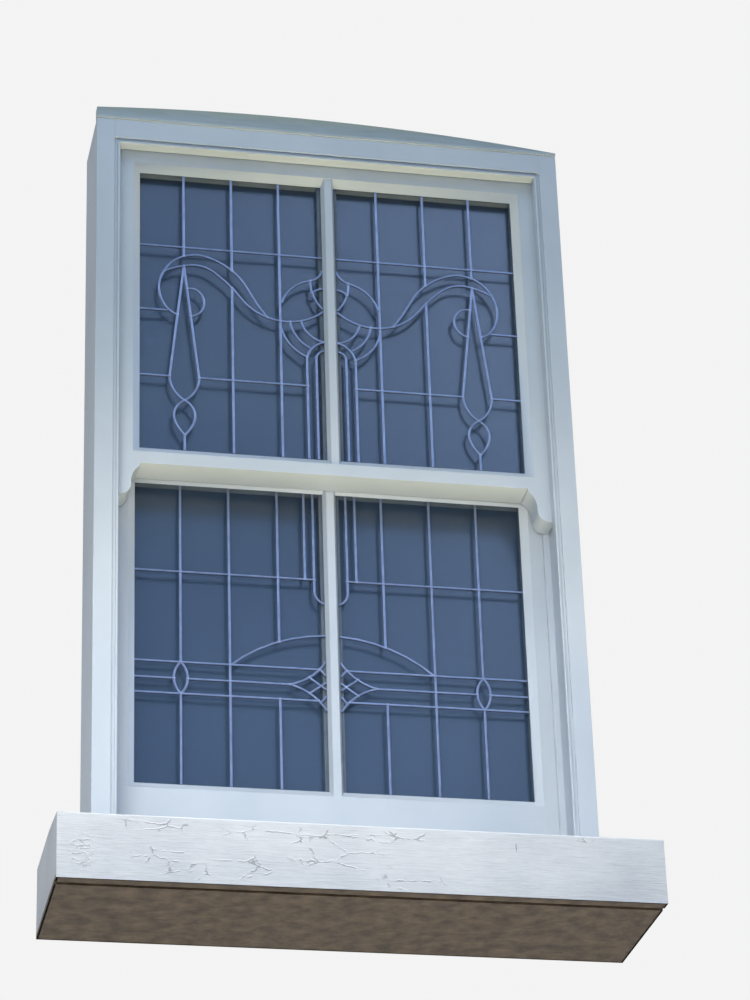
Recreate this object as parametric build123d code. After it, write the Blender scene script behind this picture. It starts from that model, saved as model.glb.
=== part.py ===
"""Timber vertical sliding sash window in its frame, on a painted stone sill. Lengths in millimetres.

+X runs to the right as seen from outside, +Y into the building and +Z up. The origin is on the
underside of the stone sill, in the middle of the whole window's width and depth.
"""
from build123d import *
import math
import os

# Stone sill
stone_length = 1164.0
stone_projection = 157.0      # front of the stone in front of the lining's face
stone_height = 131.0          # front face
stone_seat = 143.0            # height of the level seat under the timber sill
stone_arris = 7.0             # worn top edge
throat_width = 12.0
throat_depth = 8.0
throat_setback = 26.0

# Timber frame
frame_width = 1000.0
frame_depth = 176.0           # lining's face to the inner face
jamb_thickness = 41.0
head_thickness = 51.5
sill_rise = 62.0              # timber sill's height under the lower sash's outer face
sill_nose = 20.0              # timber sill in front of the lining's face
sill_slope = 9.5              # degrees
sill_round = 6.0
lining_thickness = 25.0
lining_flat = 38.0
quirk_width = 6.5
quirk_depth = 5.0
lining_bead = 5.5
head_lining_cover = 7.0       # how far the head lining hangs below the head
edge_round = 1.5              # softened edge of a painted board

# Scribed board between the flat head and the brick arch
scribe_left = 28.0
scribe_crown = 42.0
scribe_right = 9.5
scribe_thickness = 20.0
scribe_setback = 1.5
scribe_bead_height = 8.0
scribe_bead_proud = 2.5
scribe_bead_round = 2.0

# Beads that guide the sashes
parting_bead_thickness = 8.0
parting_bead_width = 22.0
parting_groove = 9.0
staff_bead_width = 13.0
staff_bead_round = 7.0

# Sashes
sash_thickness = 57.0
face_clearance = 2.0          # sash to lining and sash to staff bead
edge_clearance = 2.0          # sash to jamb and head
parting_gap = 11.0            # between the two sashes
stile_width = 54.0
top_rail = 50.0
bottom_rail = 102.0
upper_meeting_rail = 42.5
lower_meeting_rail = 44.2
meeting_bevel = 9.0           # lean of the joint between the meeting rails
meeting_gap = 0.3
meeting_rail_end = 14.0       # rail's lip stops this far inside the sash's edge
pane_height = 662.0
travel = 600.0                # stroke of each sash on its balances
seat_gap = 0.3
drip_width = 4.0
drip_depth = 6.0
drip_setback = 9.0

# Horns of the upper sash
horn_length = 73.5
horn_shoulder = 6.0
horn_cove_width = 18.5
horn_cove_height = 36.0
horn_round = 24.5

# Glazing
bead_size = 16.0              # bevelled glazing bead, width and depth
bead_edge = 0.8
nib_ovolo = 10.0
bar_face = 15.0
bar_bead = 6.5
bar_recess = 2.0
pane_thickness = 4.0
cavity = 16.0
unit_clearance = 3.0
bar_clearance = 1.5
spacer_width = 10.0
spacer_inset = 2.0
lead_width = 6.0
lead_thickness = 1.2
lead_clearance = 0.6          # leads stop this far inside the beads

# Spring balances
balance_radius = 8.5
balance_bore = 7.0
balance_groove = 20.0
balance_top_gap = 6.0
balance_lowest_gap = 17.0     # tube to the foot of the rod
balance_plug = 14.0
balance_gap = 0.3
balance_overlap = 45.0        # rod still inside the tube at full stroke
rod_width = 8.0               # flat strip, drawn without its twist
rod_thickness = 1.6
foot_height = 12.0
foot_width = 16.0
foot_inset = 1.0              # from the stile's edge
groove_floor = 14.0           # wood left under the groove

# Fasteners and lifts
fastener_offset = 200.0       # from the middle of the window
pivot_setback = 17.0          # from the lower sash's outer face
fastener_base = (62.0, 26.0, 3.0)
fastener_corner = 7.0
pivot_radius = 4.0
pivot_clearance = 0.06
hub_radius = 9.5              # to its corners
hub_height = 7.0
hub_gap = 0.3
nut_radius = 6.5              # to its corners
nut_height = 2.5
tongue_reach = 36.0
tongue_width = 11.0
tongue_thickness = 3.0
tongue_lift = 1.2
tongue_corner = 3.5
arm_reach = 30.0
arm_width = 6.0
knob_radius = 6.5             # to its corners
knob_height = 11.0
knob_edge = 2.0
keep_size = (40.0, 16.5, 2.5)
keep_setback = 1.0            # behind the sealed unit
keep_round = 2.0
keep_wall = 3.0
keep_height = 12.0
keep_roof = 2.5
lift_plate = (46.0, 2.5, 28.0)
lift_reach = 18.0
lift_thickness = 3.0
lift_round = 2.7
lift_lip = 9.0
lift_height = 30.0            # lift's plate above the inner bead of the sill

# Fixing holes through the jambs
fixing_radius = 3.5
fixing_inner_heights = (1150.0, 1650.0)
fixing_outer_heights = (300.0, 800.0)
fixing_inner_setback = 12.0   # from the staff bead

# Places worked out from the sizes above
half_frame = frame_width / 2
face_y = (stone_projection - frame_depth) / 2
inner_y = face_y + frame_depth
frame_y = face_y + lining_thickness
upper_y = frame_y + face_clearance
lower_y = upper_y + sash_thickness + parting_gap
bead_y = lower_y + sash_thickness + face_clearance
parting_y = upper_y + sash_thickness + (parting_gap - parting_bead_thickness) / 2
nose_y = face_y - sill_nose
stone_y = face_y - stone_projection
jamb_x = half_frame - jamb_thickness
sash_x = jamb_x - edge_clearance
sight_x = sash_x - stile_width
core_x = sight_x + bead_size
lining_x = half_frame - lining_flat - quirk_width - lining_bead
lip_x = sash_x - meeting_rail_end
web_x = bar_face / 2
bar_x = web_x + bar_bead
unit_y = bead_size + 2 * pane_thickness + cavity
slope = math.tan(math.radians(sill_slope))
lower_bottom = stone_seat + sill_rise + seat_gap
lower_sight = lower_bottom + bottom_rail
lower_top_sight = lower_sight + pane_height
meeting_top = lower_top_sight + lower_meeting_rail
soffit = meeting_top - upper_meeting_rail
upper_sight = meeting_top
upper_top_sight = upper_sight + pane_height
upper_top = upper_top_sight + top_rail
head_z = upper_top + edge_clearance
head_top = head_z + head_thickness
lining_z = head_z - head_lining_cover
mould_width = quirk_width + lining_bead
horn_z = soffit - horn_length
balance_x = jamb_x - balance_gap - balance_radius
balance_top = head_z - balance_top_gap
balance_bottom = horn_z + groove_floor + foot_height + balance_lowest_gap


def sill_z(y):
    """Height of the timber sill's weathered top at a given depth."""
    return stone_seat + sill_rise + (min(y, bead_y) - lower_y) * slope


def outline(*points):
    """A flat face from its corners."""
    return make_face(Polyline(*points, close=True))


def soften(face, radius, *corners):
    """Rounds the corners of a flat face that lie nearest the given points."""
    chosen = [min(face.vertices(), key=lambda v: (v.X - x) ** 2 + (v.Y - y) ** 2) for x, y in corners]
    return fillet(chosen, radius)


def along_x(face, start, end):
    """Extrudes a (y, z) profile from x = start to x = end."""
    plane = Plane(origin=(start, 0, 0), x_dir=(0, 1, 0), z_dir=(1, 0, 0))
    return extrude(plane * face, amount=end - start)


def along_y(face, start, end):
    """Extrudes an (x, z) outline from y = start to y = end."""
    plane = Plane(origin=(0, end, 0), x_dir=(1, 0, 0), z_dir=(0, -1, 0))
    return extrude(plane * face, amount=end - start)


def along_z(face, start, end):
    """Extrudes an (x, y) profile from z = start to z = end."""
    return extrude(Plane.XY.offset(start) * face, amount=end - start)


def block(x0, x1, y0, y1, z0, z1):
    """A plain rectangular block between its limits."""
    return along_z(outline((x0, y0), (x1, y0), (x1, y1), (x0, y1)), z0, z1)


def save(part, name):
    """Writes one sub-part."""
    export_step(part, "parts/" + name + ".step")


def save_set(pieces, name):
    """Writes several separate pieces as one sub-part."""
    save(Compound([solid for piece in pieces for solid in piece.solids()]), name)


def mirrored(part):
    """The right-hand copy of a left-hand piece."""
    return mirror(part, about=Plane.YZ)


# Frame


def stone_sill():
    """Stone sill: level seat, weathered top, worn arris and a throat under the front."""
    throat_y = stone_y + throat_setback
    face = outline((inner_y, 0), (throat_y + throat_width, 0), (throat_y + throat_width, throat_depth),
                   (throat_y, throat_depth), (throat_y, 0), (stone_y, 0), (stone_y, stone_height),
                   (nose_y - stone_arris, stone_seat), (inner_y, stone_seat))
    face = soften(face, stone_arris, (stone_y, stone_height))
    return along_x(face, -stone_length / 2, stone_length / 2)


def timber_sill():
    """Weathered timber sill under the whole frame."""
    face = outline((inner_y, stone_seat), (nose_y, stone_seat), (nose_y, sill_z(nose_y)),
                   (bead_y, sill_z(bead_y)), (inner_y, sill_z(bead_y)))
    face = soften(face, sill_round, (nose_y, sill_z(nose_y)))
    return along_x(face, -half_frame, half_frame)


def fixing_hole(y, z):
    """Screw hole through the left jamb."""
    middle = -(half_frame + jamb_x) / 2
    return Pos(middle, y, z) * Rot(0, 90, 0) * Cylinder(fixing_radius, 2 * jamb_thickness)


def left_jamb(sill):
    """Jamb with the groove for the parting bead and four screw holes, cut to the sill's slope."""
    face = outline((-half_frame, frame_y), (-jamb_x, frame_y), (-jamb_x, inner_y), (-half_frame, inner_y))
    face -= outline((-jamb_x - parting_groove, parting_y), (-jamb_x, parting_y),
                    (-jamb_x, parting_y + parting_bead_thickness),
                    (-jamb_x - parting_groove, parting_y + parting_bead_thickness))
    jamb = along_z(face, stone_seat, head_z) - sill
    for z in fixing_inner_heights:
        jamb -= fixing_hole(bead_y - fixing_inner_setback, z)
    for z in fixing_outer_heights:
        jamb -= fixing_hole(upper_y + sash_thickness / 2, z)
    return jamb


def frame_head():
    """Head across both jambs, grooved for its parting bead."""
    face = outline((frame_y, head_z), (parting_y, head_z), (parting_y, head_z + parting_groove),
                   (parting_y + parting_bead_thickness, head_z + parting_groove),
                   (parting_y + parting_bead_thickness, head_z), (inner_y, head_z),
                   (inner_y, head_top), (frame_y, head_top))
    return along_x(face, -half_frame, half_frame)


def lining_mould():
    """Quirk and bead of a lining: distance from its inner edge, then depth behind its face."""
    r = lining_bead / 2
    nose = ThreePointArc((0, r), (r, 0), (lining_bead, r))
    rest = Polyline((lining_bead, r), (lining_bead, quirk_depth), (mould_width, quirk_depth),
                    (mould_width, lining_thickness), (0, lining_thickness), (0, r))
    return make_face(nose + rest)


def left_outer_lining(sill):
    """Side lining: flat board and mitred quirk bead."""
    flat = outline((-half_frame, face_y), (-lining_x - mould_width, face_y),
                   (-lining_x - mould_width, frame_y), (-half_frame, frame_y))
    flat = soften(flat, edge_round, (-half_frame, face_y), (-lining_x - mould_width, face_y))
    board = along_z(flat, stone_seat, head_top)
    mould = Pos(-lining_x, face_y) * mirror(lining_mould(), about=Plane.YZ)
    strip = along_z(mould, stone_seat, head_top)
    mitre = outline((-lining_x, stone_seat), (-lining_x, lining_z),
                    (-lining_x - mould_width, lining_z + mould_width), (-lining_x - mould_width, stone_seat))
    strip &= along_y(mitre, face_y, frame_y)
    return board + strip - sill


def head_outer_lining():
    """Head lining: flat board and mitred quirk bead."""
    mould_top = lining_z + mould_width
    flat = outline((face_y, mould_top), (frame_y, mould_top), (frame_y, head_top), (face_y, head_top))
    flat = soften(flat, edge_round, (face_y, mould_top))
    edge_x = lining_x + mould_width
    board = along_x(flat, -edge_x, edge_x)
    mould = Pos(face_y, lining_z) * Rot(0, 0, 90) * mirror(lining_mould(), about=Plane.XZ)
    strip = along_x(mould, -edge_x, edge_x)
    mitre = outline((-lining_x, lining_z), (lining_x, lining_z), (edge_x, mould_top), (-edge_x, mould_top))
    return board + (strip & along_y(mitre, face_y, frame_y))


def head_scribe():
    """Board scribed to the arch above the flat head, with a small bead along its foot."""
    foot = Polyline((half_frame, head_top + scribe_right), (half_frame, head_top),
                    (-half_frame, head_top), (-half_frame, head_top + scribe_left))
    arch = ThreePointArc((-half_frame, head_top + scribe_left), (0, head_top + scribe_crown),
                         (half_frame, head_top + scribe_right))
    front = face_y + scribe_setback
    board = along_y(make_face(foot + arch), front, front + scribe_thickness)
    bead = outline((face_y - scribe_bead_proud, head_top), (front, head_top),
                   (front, head_top + scribe_bead_height),
                   (face_y - scribe_bead_proud, head_top + scribe_bead_height))
    bead = soften(bead, scribe_bead_round, (face_y - scribe_bead_proud, head_top),
                  (face_y - scribe_bead_proud, head_top + scribe_bead_height))
    return board + along_x(bead, -half_frame, half_frame)


def left_parting_bead(sill):
    """Parting bead in the left jamb's groove."""
    outer = -jamb_x - parting_groove
    y1 = parting_y + parting_bead_thickness
    inner = outer + parting_bead_width
    face = outline((outer, parting_y), (inner, parting_y), (inner, y1), (outer, y1))
    face = soften(face, edge_round, (inner, parting_y), (inner, y1))
    return along_z(face, stone_seat, head_z) - sill


def head_parting_bead():
    """Parting bead under the head, between the two side beads."""
    low = head_z + parting_groove - parting_bead_width
    y1 = parting_y + parting_bead_thickness
    end = jamb_x + parting_groove - parting_bead_width
    face = outline((parting_y, low), (parting_y, head_z + parting_groove), (y1, head_z + parting_groove),
                   (y1, low))
    return along_x(face, -end, end)


def left_staff_bead():
    """Removable inner bead on the left jamb."""
    inner = -jamb_x + staff_bead_width
    face = outline((-jamb_x, bead_y), (inner, bead_y), (inner, inner_y), (-jamb_x, inner_y))
    face = soften(face, staff_bead_round, (inner, inner_y))
    return along_z(face, sill_z(bead_y), head_z)


def cross_staff_bead(edge, out):
    """Inner bead across the window, standing on the sill (out = 1) or hanging from the head (out = -1)."""
    end = jamb_x - staff_bead_width
    tip = edge + out * staff_bead_width
    face = outline((bead_y, edge), (bead_y, tip), (inner_y, tip), (inner_y, edge))
    face = soften(face, staff_bead_round, (inner_y, tip))
    return along_x(face, -end, end)


def balance_tube(y):
    """Left balance tube, hung from a square plug against the jamb."""
    length = balance_top - balance_plug - balance_bottom
    place = Pos(-balance_x, y, balance_bottom + length / 2)
    tube = place * (Cylinder(balance_radius, length) - Cylinder(balance_bore, length))
    plug = block(-jamb_x, -balance_x + balance_radius, y - balance_radius, y + balance_radius,
                 balance_top - balance_plug, balance_top)
    return tube + plug


# Sash members


def nib(sign, corner, sight):
    """Glazing nib with its ovolo, as (offset across the member, depth behind the sash's face).

    corner is the rebate wall and sight the edge of the glass, on the side that sign points to.
    """
    back = sash_thickness
    turn = back - nib_ovolo
    start = (sight, turn)
    middle = (sight - sign * nib_ovolo * (1 - math.sqrt(0.5)), back - nib_ovolo * (1 - math.sqrt(0.5)))
    end = (sight - sign * nib_ovolo, back)
    arc = ThreePointArc(start, middle, end)
    rest = Polyline(end, (corner, back), (corner, unit_y), (sight, unit_y), start)
    return make_face(arc + rest)


def stile_nib(y, low, high):
    """Nib of a left stile between two heights."""
    face = Pos(0, y) * nib(1, -core_x, -sight_x)
    return along_z(face, low, high)


def rail_nib(sign, y, wall, sight):
    """Nib of a rail: wall and sight are heights."""
    face = nib(sign, wall, sight)
    plane = Plane(origin=(-core_x, y, 0), x_dir=(0, 0, 1), z_dir=(-1, 0, 0))
    return extrude(plane * face, amount=-2 * core_x)


def groove(y, low, high):
    """Space for the balance in the outer edge of a left stile."""
    middle = y + sash_thickness / 2
    half = balance_groove / 2
    return block(-sash_x, -sash_x + balance_groove, middle - half, middle + half, low, high)


def core(y, low, high):
    """Left stile's full-thickness core with softened face edges."""
    face = outline((-sash_x, y), (-core_x, y), (-core_x, y + sash_thickness), (-sash_x, y + sash_thickness))
    face = soften(face, edge_round, (-sash_x, y), (-sash_x, y + sash_thickness))
    return along_z(face, low, high)


def horn():
    """Moulded horn under the left end of the upper meeting rail: cove, then ovolo."""
    cove_x = -sight_x - horn_cove_width
    cove_top = soffit - horn_shoulder
    cove_low = cove_top - horn_cove_height
    w = horn_cove_width
    h = horn_cove_height
    radius = (w * w + h * h) / (2 * w)
    angle = math.asin(h / radius) / 2
    mid = (cove_x + radius * (1 - math.cos(angle)), cove_low + radius * math.sin(angle))
    cove = ThreePointArc((-sight_x, cove_top), mid, (cove_x, cove_low))
    round_top = horn_z + horn_round
    r45 = horn_round * math.sqrt(0.5)
    ovolo = ThreePointArc((cove_x, round_top), (cove_x - horn_round + r45, round_top - r45),
                          (cove_x - horn_round, horn_z))
    sides = Polyline((cove_x, cove_low), (cove_x, round_top))
    rest = Polyline((cove_x - horn_round, horn_z), (-sash_x, horn_z), (-sash_x, soffit),
                    (-sight_x, soffit), (-sight_x, cove_top))
    return along_y(make_face(cove + sides + ovolo + rest), upper_y, upper_y + sash_thickness)


def upper_left_stile():
    """Upper sash's stile with its horn."""
    stile = core(upper_y, soffit, upper_top) + horn()
    stile += stile_nib(upper_y, upper_sight - bead_size, upper_top_sight + bead_size)
    return stile - groove(upper_y, horn_z + groove_floor, upper_top)


def lower_left_stile():
    """Lower sash's stile, cut to the sill's slope at its foot."""
    stile = core(lower_y, lower_bottom, meeting_top)
    stile += stile_nib(lower_y, lower_sight - bead_size, lower_top_sight + bead_size)
    wedge = outline((lower_y, lower_bottom), (lower_y + sash_thickness, lower_bottom),
                    (lower_y + sash_thickness, lower_bottom + sash_thickness * slope))
    stile -= along_x(wedge, -sash_x, -core_x)
    floor = lower_bottom + sash_thickness * slope + groove_floor
    return stile - groove(lower_y, floor, meeting_top)


def upper_top_rail(stiles):
    """Top rail of the upper sash, scribed to the stiles."""
    wall = upper_top_sight + bead_size
    rail = block(-core_x, core_x, upper_y, upper_y + sash_thickness, wall, upper_top)
    return rail + (rail_nib(-1, upper_y, wall, upper_top_sight) - stiles)


def upper_meeting_joint(z):
    """Depth of the upper meeting rail's leaning back face, from the upper sash's face."""
    lean = meeting_bevel * (z - soffit) / upper_meeting_rail
    return sash_thickness + parting_gap - meeting_gap - lean


def upper_meeting_rail_piece(stiles):
    """Upper meeting rail: rebated in front, with a leaning back face that closes on the lower rail."""
    wall = upper_sight - bead_size
    back = upper_y + sash_thickness
    front = outline((upper_y, soffit), (upper_y, wall), (upper_y + unit_y, wall),
                    (upper_y + unit_y, upper_sight), (back, upper_sight), (back, soffit))
    rail = along_x(front, -core_x, core_x) - stiles
    lip = outline((back, soffit), (back, upper_sight),
                  (upper_y + upper_meeting_joint(upper_sight), upper_sight),
                  (upper_y + upper_meeting_joint(soffit), soffit))
    return rail + along_x(lip, -lip_x, lip_x)


def lower_meeting_rail_piece(stiles):
    """Lower meeting rail: top rail of the lower sash, with a lip that leans over the upper rail's back."""
    wall = lower_top_sight + bead_size
    rail = block(-core_x, core_x, lower_y, lower_y + sash_thickness, wall, meeting_top)
    rail += rail_nib(-1, lower_y, wall, lower_top_sight) - stiles
    joint_y = upper_y + meeting_gap
    lip = outline((lower_y, wall), (joint_y + upper_meeting_joint(wall), wall),
                  (joint_y + upper_meeting_joint(meeting_top), meeting_top), (lower_y, meeting_top))
    return rail + along_x(lip, -lip_x, lip_x)


def lower_bottom_rail(stiles):
    """Bottom rail, cut to the sill's slope, with a drip groove underneath."""
    wall = lower_sight - bead_size
    back = lower_y + sash_thickness
    face = outline((lower_y, lower_bottom), (lower_y, wall), (back, wall),
                   (back, lower_bottom + sash_thickness * slope))
    drip = lower_y + drip_setback
    drip_top = lower_bottom + drip_depth
    face -= outline((drip, lower_bottom - drip_depth), (drip + drip_width, lower_bottom - drip_depth),
                    (drip + drip_width, drip_top), (drip, drip_top))
    return along_x(face, -core_x, core_x) + (rail_nib(1, lower_y, wall, lower_sight) - stiles)


def glazing_bar(y, low, high, rails):
    """Upright bar between the two panes, scribed to the rails."""
    ovolo = bar_bead - bead_edge
    back = y + sash_thickness
    web = outline((-web_x, y + bar_recess), (web_x, y + bar_recess), (web_x, back), (-web_x, back))
    web = soften(web, bead_edge, (-web_x, y + bar_recess), (web_x, y + bar_recess))
    stop = outline((-bar_x, y + unit_y), (bar_x, y + unit_y), (bar_x, back), (-bar_x, back))
    stop = soften(stop, ovolo, (-bar_x, back), (bar_x, back))
    bar = along_z(web, low - bead_size, high + bead_size) + along_z(stop, low - bead_size, high + bead_size)
    return bar - rails


# Glazing


def bead_profile(width, start):
    """Bevelled glazing bead: distance from the rebate wall, then depth behind the sash's face."""
    return outline((0, start), (bead_edge, start), (width, bead_size - bead_edge), (width, bead_size),
                   (0, bead_size))


def left_glazing_beads(y, low, high):
    """Four beads round the left pane, mitred at the corners."""
    outer = [(-core_x, low - bead_size), (-web_x, low - bead_size), (-web_x, high + bead_size),
             (-core_x, high + bead_size)]
    inner = [(-sight_x, low), (-bar_x, low), (-bar_x, high), (-sight_x, high)]
    wide = bead_profile(bead_size, 0)
    narrow = bead_profile(bar_bead, bar_recess)
    length = high - low + 2 * bead_size
    foot = low - bead_size
    level = Plane(origin=(-core_x, y, foot), x_dir=(0, 0, 1), z_dir=(-1, 0, 0))
    hung = Plane(origin=(-core_x, y, high + bead_size), x_dir=(0, 0, -1), z_dir=(1, 0, 0))
    strips = [extrude(level * wide, amount=web_x - core_x),
              along_z(Pos(-web_x, y) * mirror(narrow, about=Plane.YZ), foot, foot + length),
              extrude(hung * wide, amount=core_x - web_x),
              along_z(Pos(-core_x, y) * wide, foot, foot + length)]
    beads = []
    for i in range(4):
        j = (i + 1) % 4
        mitre = along_y(outline(outer[i], outer[j], inner[j], inner[i]), y, y + bead_size)
        beads.append(strips[i] & mitre)
    return beads


def left_unit(y, low, high):
    """Outer pane, spacer and inner pane of the left sealed unit."""
    x0 = -core_x + unit_clearance
    x1 = -web_x - bar_clearance
    z0 = low - bead_size + unit_clearance
    z1 = high + bead_size - unit_clearance
    front = y + bead_size
    gap = front + pane_thickness
    outer = block(x0, x1, front, gap, z0, z1)
    inner = block(x0, x1, gap + cavity, gap + cavity + pane_thickness, z0, z1)
    a = spacer_inset
    b = spacer_inset + spacer_width
    spacer = block(x0 + a, x1 - a, gap, gap + cavity, z0 + a, z1 - a)
    spacer -= block(x0 + b, x1 - b, gap, gap + cavity, z0 + b, z1 - b)
    return outer, spacer, inner


# Leadwork, drawn on the left pane
pane_width = sight_x - bar_x


def at(u, v):
    """Point of the pane for a point of the drawing: squares across from the stile, squares up."""
    across, up = 389, 662
    return (pane_width * u / across, pane_height * v / up)


def straight(start, end):
    """Straight lead between two points of the drawing."""
    return Line(at(*start), at(*end))


def arcs(*points):
    """Leads bent to arcs that run on from each other: an end, a point on the way, an end, and so on."""
    ends = zip(points[0::2], points[1::2], points[2::2])
    return [ThreePointArc(at(*start), at(*middle), at(*end)) for start, middle, end in ends]


def upper_lead_lines():
    """Centre lines of the leads on the upper left pane, in squares of the drawing."""
    left, middle, right, edge = 93, 195, 297, 389
    top, second, third, sky = 485, 329, 172, 662
    outer_post, inner_post = 352, 372
    pendant, cross, tip = 31, 116, 36
    grid = [straight((left, sky), (left, 464)), straight((middle, sky), (middle, 437)),
            straight((middle, 394), (middle, 0)), straight((right, sky), (right, 0)),
            straight((0, top), (edge, top)), straight((0, second), (61, second)),
            straight((0, third), (left - pendant, third)),
            straight((left + pendant, third), (outer_post, third)), straight((left, tip), (left, 0)),
            straight((outer_post, 0), (outer_post, 238)), straight((inner_post, 0), (inner_post, 239))]
    swan = arcs((51, 424), (85, 460), (133, 468), (190, 441), (229, 393), (248, 359), (269, 329))
    swan += arcs((51, 424), (73, 434), (97, 441), (130, 442), (159, 428), (189, 401), (215, 369),
                 (298, 323), (edge, 354))
    curls = arcs((51, 424), (40, 382), (53, 340), (65, 327), (81, 319))
    curls += arcs((99, 384), (113, 385), (124, 379), (134, 342), (106, 318))
    pendants = []
    for side in (-1, 1):
        pendants.append(straight((left, 440), (left + side * pendant, third)))
        pendants += arcs((left + side * pendant, third), (left + side * 23, 141), (left - side, cross),
                         (left - side * 19, 96), (left - side * 21, 71), (left - side * 12, 51), (left, tip))
    bud = arcs((300, 367), (322, 405), (363, 427), (380, 438), (edge, 454))
    bud += arcs((363, 427), (368, 392), (edge, 358)) + arcs((366, 397), (377, 406), (edge, 409))
    bud += arcs((317, 325), (331, 288), (359, 263)) + arcs((341, 326), (357, 296), (edge, 279))
    bud += arcs((298, 306), (320, 264), (354, 240))
    crowns = arcs((outer_post, 238), (364, 264), (edge, 279)) + arcs((inner_post, 239), (377, 252), (edge, 258))
    return grid + swan + curls + pendants + bud + crowns


def lower_lead_lines():
    """Centre lines of the leads on the lower left pane, in squares of the drawing."""
    left, middle, right, edge, centre = 93, 193, 294, 389, 403
    top, first, second, third, sky = 465, 264, 228, 195, 662
    outer_post, inner_post, oval = 350, 369, 14
    rise, reach = 76, centre - 195
    radius = (reach ** 2 + rise ** 2) / (2 * rise)

    def arch(u):
        """Point of the segmental arch above the three close rows."""
        return (u, first + rise - radius + math.sqrt(radius ** 2 - (centre - u) ** 2))

    grid = [straight((left, sky), (left, first)), straight((left, third), (left, 0)),
            straight((middle, sky), (middle, 0)), straight((right, sky), arch(right)),
            straight((right, third), (right, 0)), straight((0, top), (inner_post, top)),
            straight((outer_post, sky), (outer_post, top)), straight((inner_post, sky), (inner_post, 441)),
            straight((0, first), (378, first)), straight((0, third), (376, third)),
            straight((0, second), (left - oval, second)), straight((left + oval, second), (314, second))]
    curves = arcs((inner_post, 441), (374, 422), (edge, 411)) + arcs(arch(middle), arch(right), arch(edge))
    for side in (-1, 1):
        curves += arcs((left, first), (left + side * oval, second + 1), (left, third))
        curves += lozenge_side(side, centre, second)
        grid.append(straight((353, second + side * 18), (edge, second - side * 8)))
        grid.append(straight((377, second + side * 36), (edge, second + side * 22)))
    return grid + curves


def lozenge_side(side, centre, row):
    """One hollow side of the lozenge that straddles the glazing bar, as far as the bar."""
    half, hollow, edge = 89, 18, 389
    chord = half / math.sqrt(2)
    radius = (chord ** 2 + hollow ** 2) / (2 * hollow)
    offset = (radius + chord - hollow) / math.sqrt(2)

    def point(u):
        """Point of the hollow side at a distance from the stile."""
        return (u, row + side * (offset - math.sqrt(radius ** 2 - (u - centre + offset) ** 2)))

    return arcs(point(centre - half), point(centre - 40), point(edge))


def left_leadwork(lines, y, low):
    """Flat leads on the outer pane, joined where they meet and cut off at the beads."""
    strips = Sketch() + [trace(line, lead_width) for line in lines]
    gap = lead_clearance
    field = outline((gap, gap), (pane_width - gap, gap), (pane_width - gap, pane_height - gap),
                    (gap, pane_height - gap))
    pattern = Pos(-sight_x, low) * (strips & field)
    front = y + bead_size
    return along_y(pattern, front - lead_thickness, front)


# Ironmongery


def balance_rod(y, floor, stroke_top):
    """Left balance rod on its foot in the bottom of the stile's groove."""
    middle = y + sash_thickness / 2
    foot = block(-sash_x + foot_inset, -sash_x + balance_groove, middle - foot_width / 2,
                 middle + foot_width / 2, floor, floor + foot_height)
    strip = block(-balance_x - rod_width / 2, -balance_x + rod_width / 2, middle - rod_thickness / 2,
                  middle + rod_thickness / 2, floor, stroke_top)
    return foot + strip


def fastener_bases():
    """Base plates on the lower meeting rail, each with a pivot post and the nut over its lever."""
    width, depth, thick = fastener_base
    y = lower_y + pivot_setback
    post_height = thick + hub_gap + hub_height + hub_gap
    nut = extrude(RegularPolygon(nut_radius, 6), amount=nut_height)
    bases = []
    for x in (-fastener_offset, fastener_offset):
        plate = Rectangle(width, depth)
        plate = chamfer(plate.vertices(), fastener_corner)
        base = Pos(x, y, meeting_top) * extrude(plate, amount=thick)
        base += Pos(x, y, meeting_top + post_height / 2) * Cylinder(pivot_radius, post_height)
        base += Pos(x, y, meeting_top + post_height) * nut
        bases.append(base)
    return bases


def fastener_lever(side):
    """Faceted cam lever, shown unlocked: tongue towards the stile, knob towards the middle."""
    x = side * fastener_offset
    y = lower_y + pivot_setback
    z = meeting_top + fastener_base[2] + hub_gap
    hub = extrude(RegularPolygon(hub_radius, 8), amount=hub_height)
    half = tongue_width / 2
    blade = outline((0, -half), (tongue_reach - tongue_corner, -half), (tongue_reach, tongue_corner - half),
                    (tongue_reach, half - tongue_corner), (tongue_reach - tongue_corner, half), (0, half))
    tongue = Pos(0, 0, tongue_lift) * extrude(blade, amount=tongue_thickness)
    arm = Pos(-arm_reach / 2, 0, hub_height / 2) * Box(arm_reach, arm_width, hub_height / 2)
    knob = extrude(RegularPolygon(knob_radius, 8), amount=knob_height)
    knob = chamfer(knob.faces().sort_by(Axis.Z)[-1].edges(), knob_edge)
    knob = Pos(-arm_reach, 0, tongue_lift) * knob
    lever = hub + tongue + arm + knob
    lever -= Pos(0, 0, hub_height / 2) * Cylinder(pivot_radius + pivot_clearance, hub_height)
    turn = 0 if side > 0 else 180
    return Pos(x, y, z) * Rot(0, 0, turn) * lever


def fastener_keeps():
    """Hooked keeps on the upper meeting rail; a tongue swings in under each hook."""
    width, depth, thick = keep_size
    y0 = upper_y + unit_y + keep_setback
    z0 = meeting_top
    face = outline((y0, z0), (y0 + depth, z0), (y0 + depth, z0 + thick), (y0 + keep_wall, z0 + thick),
                   (y0 + keep_wall, z0 + keep_height - keep_roof), (y0 + depth, z0 + keep_height - keep_roof),
                   (y0 + depth, z0 + keep_height), (y0, z0 + keep_height))
    face = soften(face, keep_round, (y0, z0 + keep_height))
    return [along_x(face, x - width / 2, x + width / 2) for x in (-fastener_offset, fastener_offset)]


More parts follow.
